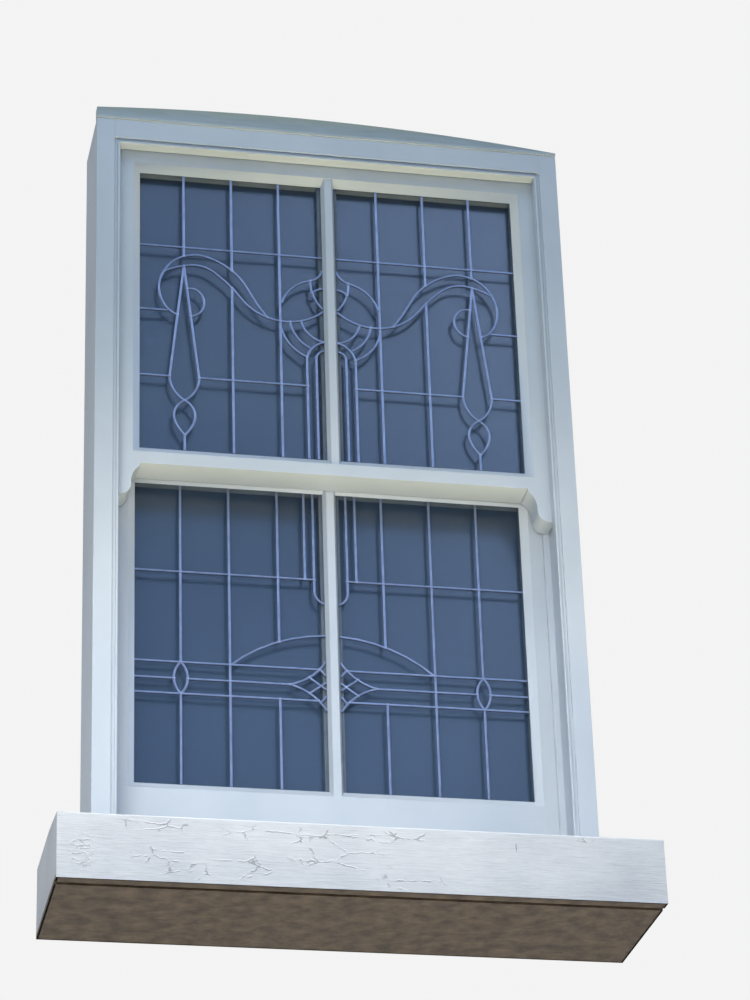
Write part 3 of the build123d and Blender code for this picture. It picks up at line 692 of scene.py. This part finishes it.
def upper_leads():
    """Lines of the upper pane's leads."""
    left, middle, right, edge = 93, 195, 297, squares_across
    top, second, third, sky = 485, 329, 172, squares_up
    outer_post, inner_post = 352, 372
    pendant, cross, tip = 31, 116, 36
    lines = [[(left, sky), (left, 464)], [(middle, sky), (middle, 437)], [(middle, 394), (middle, 0)],
             [(right, sky), (right, 0)], [(0, top), (edge, top)], [(0, second), (58, second)],
             [(0, third), (left - pendant, third)], [(left + pendant, third), (outer_post, third)],
             [(left, tip), (left, 0)]]
    lines.append(bent((51, 424), (85, 460), (133, 468), (190, 441), (229, 393), (248, 359), (269, 329)))
    lines.append(bent((51, 424), (73, 434), (97, 441), (130, 442), (159, 428), (189, 401), (215, 369),
                      (298, 323), (edge, 354)))
    lines.append(bent((51, 424), (40, 382), (53, 340), (65, 327), (81, 319)))
    lines.append(bent((99, 384), (113, 385), (124, 379), (134, 342), (106, 318)))
    for side in (-1, 1):
        strand = bent((left + side * pendant, third), (left + side * 23, 141), (left - side, cross),
                      (left - side * 19, 96), (left - side * 21, 71), (left - side * 12, 51), (left, tip))
        lines.append([(left, 440)] + strand)
    lines += [bent((300, 367), (322, 405), (363, 427), (380, 438), (edge, 454)),
              bent((363, 427), (368, 392), (edge, 358)), bent((366, 397), (377, 406), (edge, 409)),
              bent((317, 325), (331, 288), (359, 263)), bent((341, 326), (357, 296), (edge, 279)),
              bent((298, 306), (320, 264), (354, 240)),
              [(outer_post, 0)] + bent((outer_post, 238), (364, 264), (edge, 279)),
              [(inner_post, 0)] + bent((inner_post, 239), (377, 252), (edge, 258))]
    return lines


print("upper pane:", len(upper_leads()), "leads")

# %% [markdown]
# ## Lower pane
#
# Each lower pane has three close rows tied by a pointed oval and half a lozenge, with a flat arch
# above them. The arch and the lozenge's hollow sides are true circles, so they are worked out from
# a rise and a span, which keeps them fair.

# %% Leads of a lower pane


def lower_leads():
    """Lines of the lower pane's leads."""
    left, middle, right, edge, centre = 93, 193, 294, squares_across, 403
    top, first, second, third, sky = 465, 264, 228, 195, squares_up
    outer_post, inner_post, oval = 350, 369, 14
    rise, reach = 76, centre - 195
    radius = (reach ** 2 + rise ** 2) / (2 * rise)

    def arch(u):
        """Point of the segmental arch above the three close rows."""
        return (u, first + rise - radius + sqrt(radius ** 2 - (centre - u) ** 2))

    lines = [[(left, sky), (left, first)], [(left, third), (left, 0)], [(middle, sky), (middle, 0)],
             [(right, sky), arch(right)], [(right, third), (right, 0)], [(0, top), (inner_post, top)],
             [(outer_post, sky), (outer_post, top)],
             [(inner_post, sky)] + bent((inner_post, 441), (374, 422), (edge, 411)),
             [(0, first), (375, first)], [(0, third), (373, third)],
             [(0, second), (left - oval, second)], [(left + oval, second), (314, second)],
             bent(arch(middle), arch(right), arch(edge))]
    half, hollow = 89, 18
    chord = half / sqrt(2)
    bend = (chord ** 2 + hollow ** 2) / (2 * hollow)
    offset = (bend + chord - hollow) / sqrt(2)
    for side in (-1, 1):
        def edge_point(u):
            """Point of one hollow side of the lozenge."""
            return (u, second + side * (offset - sqrt(bend ** 2 - (u - centre + offset) ** 2)))

        lines.append(bent((left, first), (left + side * oval, second + 1), (left, third)))
        lines.append(bent(edge_point(centre - half), edge_point(centre - 40), edge_point(edge)))
        lines.append([(353, second + side * 18), (edge, second - side * 8)])
        lines.append([(377, second + side * 36), (edge, second + side * 22)])
    return lines


print("lower pane:", len(lower_leads()), "leads")

# %% [markdown]
# ## Where leads meet
#
# A dab of solder covers each meeting of two leads. The meetings could be listed by hand, but
# crossing every pair of lines finds them all, and keeps them right when a line is moved.

# %% Find the meetings
overshoot = 0.04              # a lead may stop short of another by this share of its length
dabs_apart = 9.0              # squares


def crossing(a, b, c, d):
    """The point where segment ab crosses cd, or None."""
    rx, ry, sx, sy = b[0] - a[0], b[1] - a[1], d[0] - c[0], d[1] - c[1]
    cross = rx * sy - ry * sx
    if abs(cross) < 1e-9:
        return None
    t = ((c[0] - a[0]) * sy - (c[1] - a[1]) * sx) / cross
    u = ((c[0] - a[0]) * ry - (c[1] - a[1]) * rx) / cross
    if all(-overshoot <= share <= 1 + overshoot for share in (t, u)):
        return (a[0] + t * rx, a[1] + t * ry)
    return None


def meetings(lines):
    """Every place where two leads cross or touch, one dab for those that lie close together."""
    found = []
    for i, one in enumerate(lines):
        for other in lines[i + 1:]:
            for a, b in zip(one, one[1:]):
                for c, d in zip(other, other[1:]):
                    point = crossing(a, b, c, d)
                    if point and all(dist(point, old) > dabs_apart for old in found):
                        found.append(point)
    return found


print("solder dabs on an upper pane:", len(meetings(upper_leads())))

# %% [markdown]
# ## From lines to leads
#
# A half-round section is swept along each line, ring by ring. A curve with a bevel would be
# quicker, but its section can roll at a bend, while a sweep in mesh code keeps the crown facing
# outwards all the way. Smooth shading leans over at a square end, so a ring close to each end
# keeps that lean short. The dabs are low domes with a slightly uneven rim.

# %% Sweep a lead
strip_width = 0.0056
section_steps = 6
end_ring = 0.0005             # a ring lies this far inside each end


def towards(end, other):
    """The place of the ring close to an end."""
    share = end_ring / dist(end, other)
    return tuple(a + share * (b - a) for a, b in zip(end, other))


def ring_faces(bm, rings, smooth=False):
    """A closed skin over rings of equal length. All but the side that closes a ring can be smooth."""
    for one, two in zip(rings, rings[1:]):
        for k in range(len(one)):
            bm.faces.new((one[k - 1], one[k], two[k], two[k - 1])).smooth = smooth and k > 0
    bm.faces.new(rings[0][::-1])
    bm.faces.new(rings[-1])


def sweep_strip(bm, line, glass_y, height):
    """A closed half-round strip along points (x, z), standing on the glass."""
    points = [line[0], towards(line[0], line[1]), *line[1:-1], towards(line[-1], line[-2]), line[-1]]
    rings = []
    for i, (x, z) in enumerate(points):
        before, after = points[max(i - 1, 0)], points[min(i + 1, len(points) - 1)]
        dx, dz = after[0] - before[0], after[1] - before[1]
        length = hypot(dx, dz)
        u, v = -dz / length, dx / length
        ring = []
        for k in range(section_steps + 1):
            turn = pi * k / section_steps
            side = cos(turn) * strip_width / 2
            ring.append(bm.verts.new((x + u * side, glass_y - sin(turn) * height, z + v * side)))
        rings.append(ring)
    ring_faces(bm, rings, smooth=True)


print("faces on one length of lead:", section_steps + 1)

# %% Shape a dab of solder
dab_radius = 0.0040
dab_height = 0.0025
dab_levels = (0.0, 0.5, 0.82)     # of the dome's height
dab_corners = 10
dab_bulge = 0.14              # how uneven the rim is


def dab_of_solder(bm, x, z, glass_y, spin):
    """A low rounded dab where leads meet."""
    rings = []
    for level in dab_levels:
        radius = dab_radius * sqrt(1 - level ** 2)
        y = glass_y - dab_height * level
        ring = []
        for k in range(dab_corners):
            turn = 2 * pi * k / dab_corners + spin
            reach = radius * (1 + dab_bulge * sin(3 * turn + 5 * spin))
            ring.append(bm.verts.new((x + reach * cos(turn), y, z + reach * sin(turn))))
        rings.append(ring)
    top = bm.verts.new((x, glass_y - dab_height, z))
    faces = [bm.faces.new(rings[0])]
    for one, two in zip(rings, rings[1:]):
        for k in range(dab_corners):
            faces.append(bm.faces.new((one[k - 1], one[k], two[k], two[k - 1])))
    for k in range(dab_corners):
        faces.append(bm.faces.new((rings[-1][k - 1], rings[-1][k], top)))
    for face in faces:
        face.smooth = True
        face.material_index = 1


print("a dab is", dab_radius * 2000, "mm across")

# %% [markdown]
# ## Finishing a mesh
#
# Each new piece rides on the body that carries it, so it moves when a sash slides. One helper
# turns a mesh into an object and fastens it there.

# %% Helper that finishes a piece


def finished(bm, name, body, *materials):
    """Turns a finished mesh into an object that rides on a body."""
    bmesh.ops.recalc_face_normals(bm, faces=bm.faces)
    mesh = bpy.data.meshes.new(name)
    bm.to_mesh(mesh)
    bm.free()
    for material in materials:
        mesh.materials.append(material)
    thing = new_object(name, mesh)
    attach(thing, body)
    return thing


# %% [markdown]
# ## The leadwork
#
# The rounded leads and their solder become one mesh for each pane. It stands in for the flat
# strips of its node and is measured from them, so it lies on the glass wherever they do.

# %% Build the leadwork
crown = 0.0019                # height of a strip's crown above the glass
crown_change = 0.05           # crowns grow by this share from lead to lead, in threes
dab_turn = 1.7                # radians, from dab to dab


def leadwork(node, lines, body):
    """The rounded leads and solder of one pane, in place of the flat strips."""
    low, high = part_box(node)
    start, run = (low[0], high[0] - low[0]) if "left" in node else (high[0], low[0] - high[0])
    rise = high[2] - low[2]

    def on_pane(point):
        """Place on the pane of a point of the drawing."""
        return (start + run * point[0] / squares_across, low[2] + rise * point[1] / squares_up)

    bm = bmesh.new()
    for i, line in enumerate(lines):
        sweep_strip(bm, [on_pane(point) for point in line], high[1], crown * (1 + crown_change * (i % 3)))
    for i, point in enumerate(meetings(lines)):
        dab_of_solder(bm, *on_pane(point), high[1], i * dab_turn)
    thing = finished(bm, "rounded_" + node, body, lead, solder)
    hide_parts(node)
    return thing


for sash, lines in (("upper", upper_leads()), ("lower", lower_leads())):
    for side in ("left", "right"):
        made = leadwork(sash + "_" + side + "_leadwork", lines, sash + "_sash")
        print(made.name, "faces:", len(made.data.polygons))

# %% [markdown]
# ## Balance strips
#
# A spiral balance holds a sash by a steel strip that is twisted all along its length and screws
# through a nut in the foot of the tube. The solids carry the strip flat. A twist modifier needs a
# finely cut mesh first, so the twist is built in: a small rectangle is turned a little at every
# step up the strip, and the rings are joined.

# %% Twist a strip
strip_size = (0.008, 0.0016)
twist_pitch = 0.085           # metres for a full turn
steps_per_turn = 16


def twisted_strip(bm, x, y, low, high):
    """A flat strip turned about its own length."""
    count = round((high - low) / twist_pitch * steps_per_turn)
    width, thickness = strip_size
    corners = [(a * width / 2, b * thickness / 2) for a, b in ((-1, -1), (1, -1), (1, 1), (-1, 1))]
    rings = []
    for i in range(count + 1):
        turn = 2 * pi * i / steps_per_turn
        c, s = cos(turn), sin(turn)
        z = low + (high - low) * i / count
        rings.append([bm.verts.new((x + u * c - v * s, y + u * s + v * c, z)) for u, v in corners])
    ring_faces(bm, rings)


print("steps up a metre of strip:", round(steps_per_turn / twist_pitch))

# %% [markdown]
# ## Feet of the balances
#
# Each strip is pinned to a small steel foot under the sash. The foot is a block with chamfered
# upper edges, from the same rings and faces as the strip.

# %% Put the strips on their feet
tube_radius = 0.0085
foot_height = 0.012
foot_chamfer = 0.001


def block(bm, low, high, edge):
    """A rectangular block with chamfered upper edges."""
    rings = []
    for inset, z in ((0.0, low[2]), (0.0, high[2] - edge), (edge, high[2])):
        x0, x1, y0, y1 = low[0] + inset, high[0] - inset, low[1] + inset, high[1] - inset
        rings.append([bm.verts.new((x, y, z)) for x, y in ((x0, y0), (x1, y0), (x1, y1), (x0, y1))])
    ring_faces(bm, rings)


def balance_strip(sash, side):
    """Twisted strip and its foot, in place of the flat one."""
    node = sash + "_" + side + "_balance_rod"
    low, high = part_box(node)
    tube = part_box(sash + "_" + side + "_balance_tube")
    x = tube[1][0] - tube_radius if side == "left" else tube[0][0] + tube_radius
    bm = bmesh.new()
    block(bm, low, (high[0], high[1], low[2] + foot_height), foot_chamfer)
    twisted_strip(bm, x, (low[1] + high[1]) / 2, low[2] + foot_height / 2, high[2])
    thing = finished(bm, "twisted_" + node, sash + "_sash", rod_steel)
    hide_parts(node)
    return thing


for sash in ("upper", "lower"):
    for side in ("left", "right"):
        print(balance_strip(sash, side).name)

# %% [markdown]
# ## Screw heads
#
# Fasteners, keeps and lifts are held by brass screws with domed, slotted heads. One head is a
# grid of points pushed into a round, shallow dome. The slot is made by sinking the points that lie
# within half a slot's width of one line, which is quicker than cutting and leaves no stray faces.

# %% Shape a screw head
head_radius = 0.0028
head_rise = 0.0009
slot_half_width = 0.0004
slot_depth = 0.0007
head_cells = 14               # cells from the middle of a head to its rim


def screw_head(bm, centre, out, turn):
    """A slotted dome that faces along a direction."""
    normal = Vector(out)
    side = normal.orthogonal().normalized()
    other = normal.cross(side)
    cells = head_cells
    grid = {}
    for i in range(-cells, cells + 1):
        for j in range(-cells, cells + 1):
            u, v = i / cells, j / cells
            scale = max(abs(u), abs(v)) / max(hypot(u, v), 1e-9)
            u, v = u * scale * head_radius, v * scale * head_radius
            height = head_rise * (1 - (u * u + v * v) / head_radius ** 2)
            if abs(u * cos(turn) + v * sin(turn)) < slot_half_width:
                height -= slot_depth * min(1.0, height / head_rise * 2)
            grid[i, j] = bm.verts.new(Vector(centre) + side * u + other * v + normal * max(height, 0.0))
    for i in range(-cells, cells):
        for j in range(-cells, cells):
            bm.faces.new((grid[i, j], grid[i + 1, j], grid[i + 1, j + 1], grid[i, j + 1]))


print("a head is", head_radius * 2000, "mm across")

# %% [markdown]
# ## Screws in their plates
#
# Two screws hold each plate, either side of its middle, and their places are worked out from the
# plates. The slots end up at different angles, as a joiner leaves them.

# %% Set the screws
fastener_offset = 0.200       # from the middle of the window
base_thickness = 0.003
keep_thickness = 0.0025
lift_thickness = 0.0025
base_spread, lift_spread, keep_spread = 0.76, 0.70, 0.66      # of a plate's half length
lift_screw_height = 0.012     # above the foot of a lift
keep_setback = 0.005          # screws of a keep stand this far from its back
first_slot, slot_step = 0.6, 0.8      # turns of the slots, in radians


def screws(name, body, places, out):
    """A set of screws on one body."""
    bm = bmesh.new()
    for i, place in enumerate(places):
        screw_head(bm, place, out, first_slot + slot_step * i)
    thing = finished(bm, name, body, brass)
    return thing


def pair_places(low, high, share, y, z):
    """Two places either side of the middle of both pieces of a two-piece node."""
    half = (high[0] - low[0]) / 2 - fastener_offset
    return [(side * fastener_offset + step * half * share, y, z) for side in (-1, 1) for step in (-1, 1)]


low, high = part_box("fastener_bases")
base_places = pair_places(low, high, base_spread, (low[1] + high[1]) / 2, low[2] + base_thickness)
low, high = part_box("sash_lifts")
lift_places = pair_places(low, high, lift_spread, low[1] + lift_thickness, low[2] + lift_screw_height)
low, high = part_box("fastener_keeps")
keep_places = pair_places(low, high, keep_spread, high[1] - keep_setback, low[2] + keep_thickness)
for thing in (screws("base_screws", "lower_sash", base_places, (0, 0, 1)),
              screws("lift_screws", "lower_sash", lift_places, (0, 1, 0)),
              screws("keep_screws", "upper_sash", keep_places, (0, 0, 1))):
    print(thing.name, "faces:", len(thing.data.polygons))

# %% [markdown]
# ## Floor
#
# The window stands on a plain pale floor. The camera looks up from below that level, so the floor
# has one side only: from above it is solid, and from below a camera looks straight through it. It
# has an opening under the stone, so that the stone's underside gets light as it does on a wall.

# %% Shape the floor
floor_size = 8.0
floor_drop = 0.0005           # the floor lies this far under the stone
opening_margin = 0.004


def floor_mesh():
    """A square floor with an opening under the stone."""
    low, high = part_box("stone_sill")
    x1, y0, y1 = high[0] - opening_margin, low[1] + opening_margin, high[1] - opening_margin
    half = floor_size / 2
    mesh = bpy.data.meshes.new("floor")
    corners = [(-half, -half, 0), (half, -half, 0), (half, half, 0), (-half, half, 0),
               (-x1, y0, 0), (x1, y0, 0), (x1, y1, 0), (-x1, y1, 0)]
    faces = [(0, 1, 5, 4), (1, 2, 6, 5), (2, 3, 7, 6), (3, 0, 4, 7)]
    mesh.from_pydata(corners, [], faces)
    return mesh


floor = new_object("floor", floor_mesh())
floor.location.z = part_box("stone_sill")[0][2] - floor_drop
print("floor faces:", len(floor.data.polygons))

# %% Finish the floor
floor_tint = (0.80, 0.80, 0.80)
floor_roughness = 0.85
floor_material, tree, shader = new_material("pale_floor")[:3]
surface(tree, shader, floor_tint, floor_roughness)
see_through = add(tree, "BsdfTransparent").outputs["BSDF"]
face_side = add(tree, "NewGeometry").outputs["Backfacing"]
from_below = times(tree, face_side, add(tree, "LightPath").outputs["Is Camera Ray"])
choice = add(tree, "MixShader", from_below, shader.outputs["BSDF"], see_through)
tree.links.new(choice.outputs["Shader"], tree.nodes["Material Output"].inputs["Surface"])
floor.data.materials.append(floor_material)
print("floor finish:", floor_material.name)

# %% [markdown]
# ## Light from all round
#
# A world of pale colour gives the soft light of a studio. It is bluer from above and warmer from
# below, as daylight is over a pavement, and neutral on the room side. The colours are mixed by
# direction, so no image of a sky is needed.

# %% Soft light
sky_above = (0.64, 0.82, 1.0)
sky_below = (0.72, 0.64, 0.52)
room_light = (1.10, 1.08, 1.05)
sky_strength = 0.38

world = bpy.data.worlds.new("studio")
world.use_nodes = True
scene.world = world
sky = world.node_tree
direction = add(sky, "TexCoord").outputs["Generated"]
to_right, inwards, to_top = (along_axis(sky, direction, axis) for axis in "XYZ")


def light_of(name, colour, strength=1.0):
    """A background of one colour or of a socket's colour."""
    return add(sky, "Background", colour, strength, name=name).outputs["Background"]


# Each range of a spread below is of a direction's reach along one axis.
upwards = spread(sky, to_top, -0.25, 0.35)
indoors = spread(sky, inwards, -0.05, 0.25)
outdoor_light = blend(sky, upwards, sky_below, sky_above)
soft_light = light_of("soft_light", blend(sky, indoors, outdoor_light, room_light), sky_strength)
print("strength of the soft light:", sky_strength)

# %% [markdown]
# ## What the glass mirrors
#
# Dark glass shows nothing but what it mirrors, so the reflections get surroundings of their own: a
# cloudy sky that brightens to the upper right, a gap in the clouds, dark ground, and a plain room
# behind. Only glossy rays see them, so they colour the glass and leave the light as it is.

# %% Mirrored surroundings
mirrored_ground = (0.14, 0.22, 0.38)
mirrored_room = (0.55, 0.56, 0.58)
mirrored_dull = (0.30, 0.54, 1.00)
mirrored_mid = (0.42, 0.72, 1.26)
mirrored_bright = (2.05, 2.80, 4.40)
cloud_gap = (-0.62, -0.52, 0.58)      # direction of the brightest part of the mirrored sky
cloud_gap_reach = (0.42, 0.42, 0.42)
cloud_gap_light = (5.6, 5.9, 6.4)
across_share, up_share, cloud_share = 0.6, 0.5, 0.2

across = times(sky, spread(sky, to_right, 0.10, 0.25), across_share)
up = times(sky, spread(sky, to_top, 0.40, 0.54), up_share)
cloud = times(sky, noise(sky, direction, 9.0, 2.0), cloud_share)
brightness = maths(sky, "ADD", maths(sky, "ADD", across, up), cloud)
clouds = ramp(sky, brightness, [(0.22, mirrored_dull), (0.62, mirrored_mid), (1.0, mirrored_bright)])
opening = near(sky, direction, cloud_gap, cloud_gap_reach)
above_ground = spread(sky, to_top, -0.10, 0.15)
over_ground = blend(sky, above_ground, mirrored_ground, clouds)
outside = blend(sky, opening, over_ground, cloud_gap_light)
mirrored = light_of("mirrored_surroundings", blend(sky, indoors, outside, mirrored_room))
print("brightest mirrored light:", cloud_gap_light)

# %% [markdown]
# ## Backdrop
#
# A camera that looks past the window sees one pale backdrop, which is a colour and lights nothing.
# The kind of ray chooses between the backdrop, the mirrored surroundings and the soft light.

# %% Join the three
backdrop_tint = (0.90, 0.90, 0.90)

ray = add(sky, "LightPath")
seen = maths(sky, "ADD", ray.outputs["Is Camera Ray"], ray.outputs["Is Transmission Ray"])
unseen = add(sky, "MixShader", ray.outputs["Is Glossy Ray"], soft_light, mirrored).outputs["Shader"]
whole = add(sky, "MixShader", seen, unseen, light_of("backdrop", backdrop_tint)).outputs["Shader"]
sky.links.new(whole, sky.nodes["World Output"].inputs["Surface"])
print("world nodes:", len(sky.nodes))

# %% [markdown]
# ## Lamps
#
# Broad lamps give the shape that an even world can't. One stands at the front left, one is high
# up like open sky, a long one is turned on the sill, and one on the ground throws the warm light
# that a pavement throws up under the rails. One lights the room side for views from behind, and
# one the stone's underside. A narrow beam keeps the third and fourth off their neighbours.

# %% Lamps


def lamp(name, place, target, size, power, tint, beam=180):
    """A soft area lamp aimed at a point, kept out of sight and out of the glass."""
    data = bpy.data.lights.new(name, "AREA")
    data.shape = "RECTANGLE"
    data.size, data.size_y = size
    data.energy = power
    data.color = tint
    data.spread = radians(beam)
    thing = new_object(name, data)
    thing.location = place
    thing.rotation_euler = (Vector(target) - Vector(place)).to_track_quat("-Z", "Y").to_euler()
    thing.visible_camera = False
    thing.visible_glossy = False
    return thing


lamps = [
    lamp("front_lamp", (-1.8, -2.6, 2.0), (0, 0, 0.4), (1.6, 1.2), 17.5, (0.72, 0.87, 1.0)),
    lamp("sky_lamp", (-0.4, -1.2, 3.3), (0, 0, 1.0), (1.6, 0.9), 15.0, (0.72, 0.88, 1.0)),
    lamp("sill_lamp", (-0.5, -1.5, 0.40), (-0.05, 0, 0.38), (1.8, 0.3), 6.2, (1.0, 0.95, 0.87), 70),
    lamp("ground_lamp", (0, -0.30, 0.03), (0, -0.29, 1.4), (1.4, 0.12), 4.7, (1.0, 0.86, 0.46), 60),
    lamp("room_side_lamp", (1.6, 3.0, 2.4), (0, 0, 0.9), (2.2, 2.2), 75.0, (1.0, 0.99, 0.97)),
    lamp("under_lamp", (0, -0.6, -1.8), (0, 0, 0), (1.2, 1.2), 20.0, (1.0, 0.93, 0.82)),
]
scene.view_settings.view_transform = "Standard"
print("lamps:", [thing.name for thing in lamps])
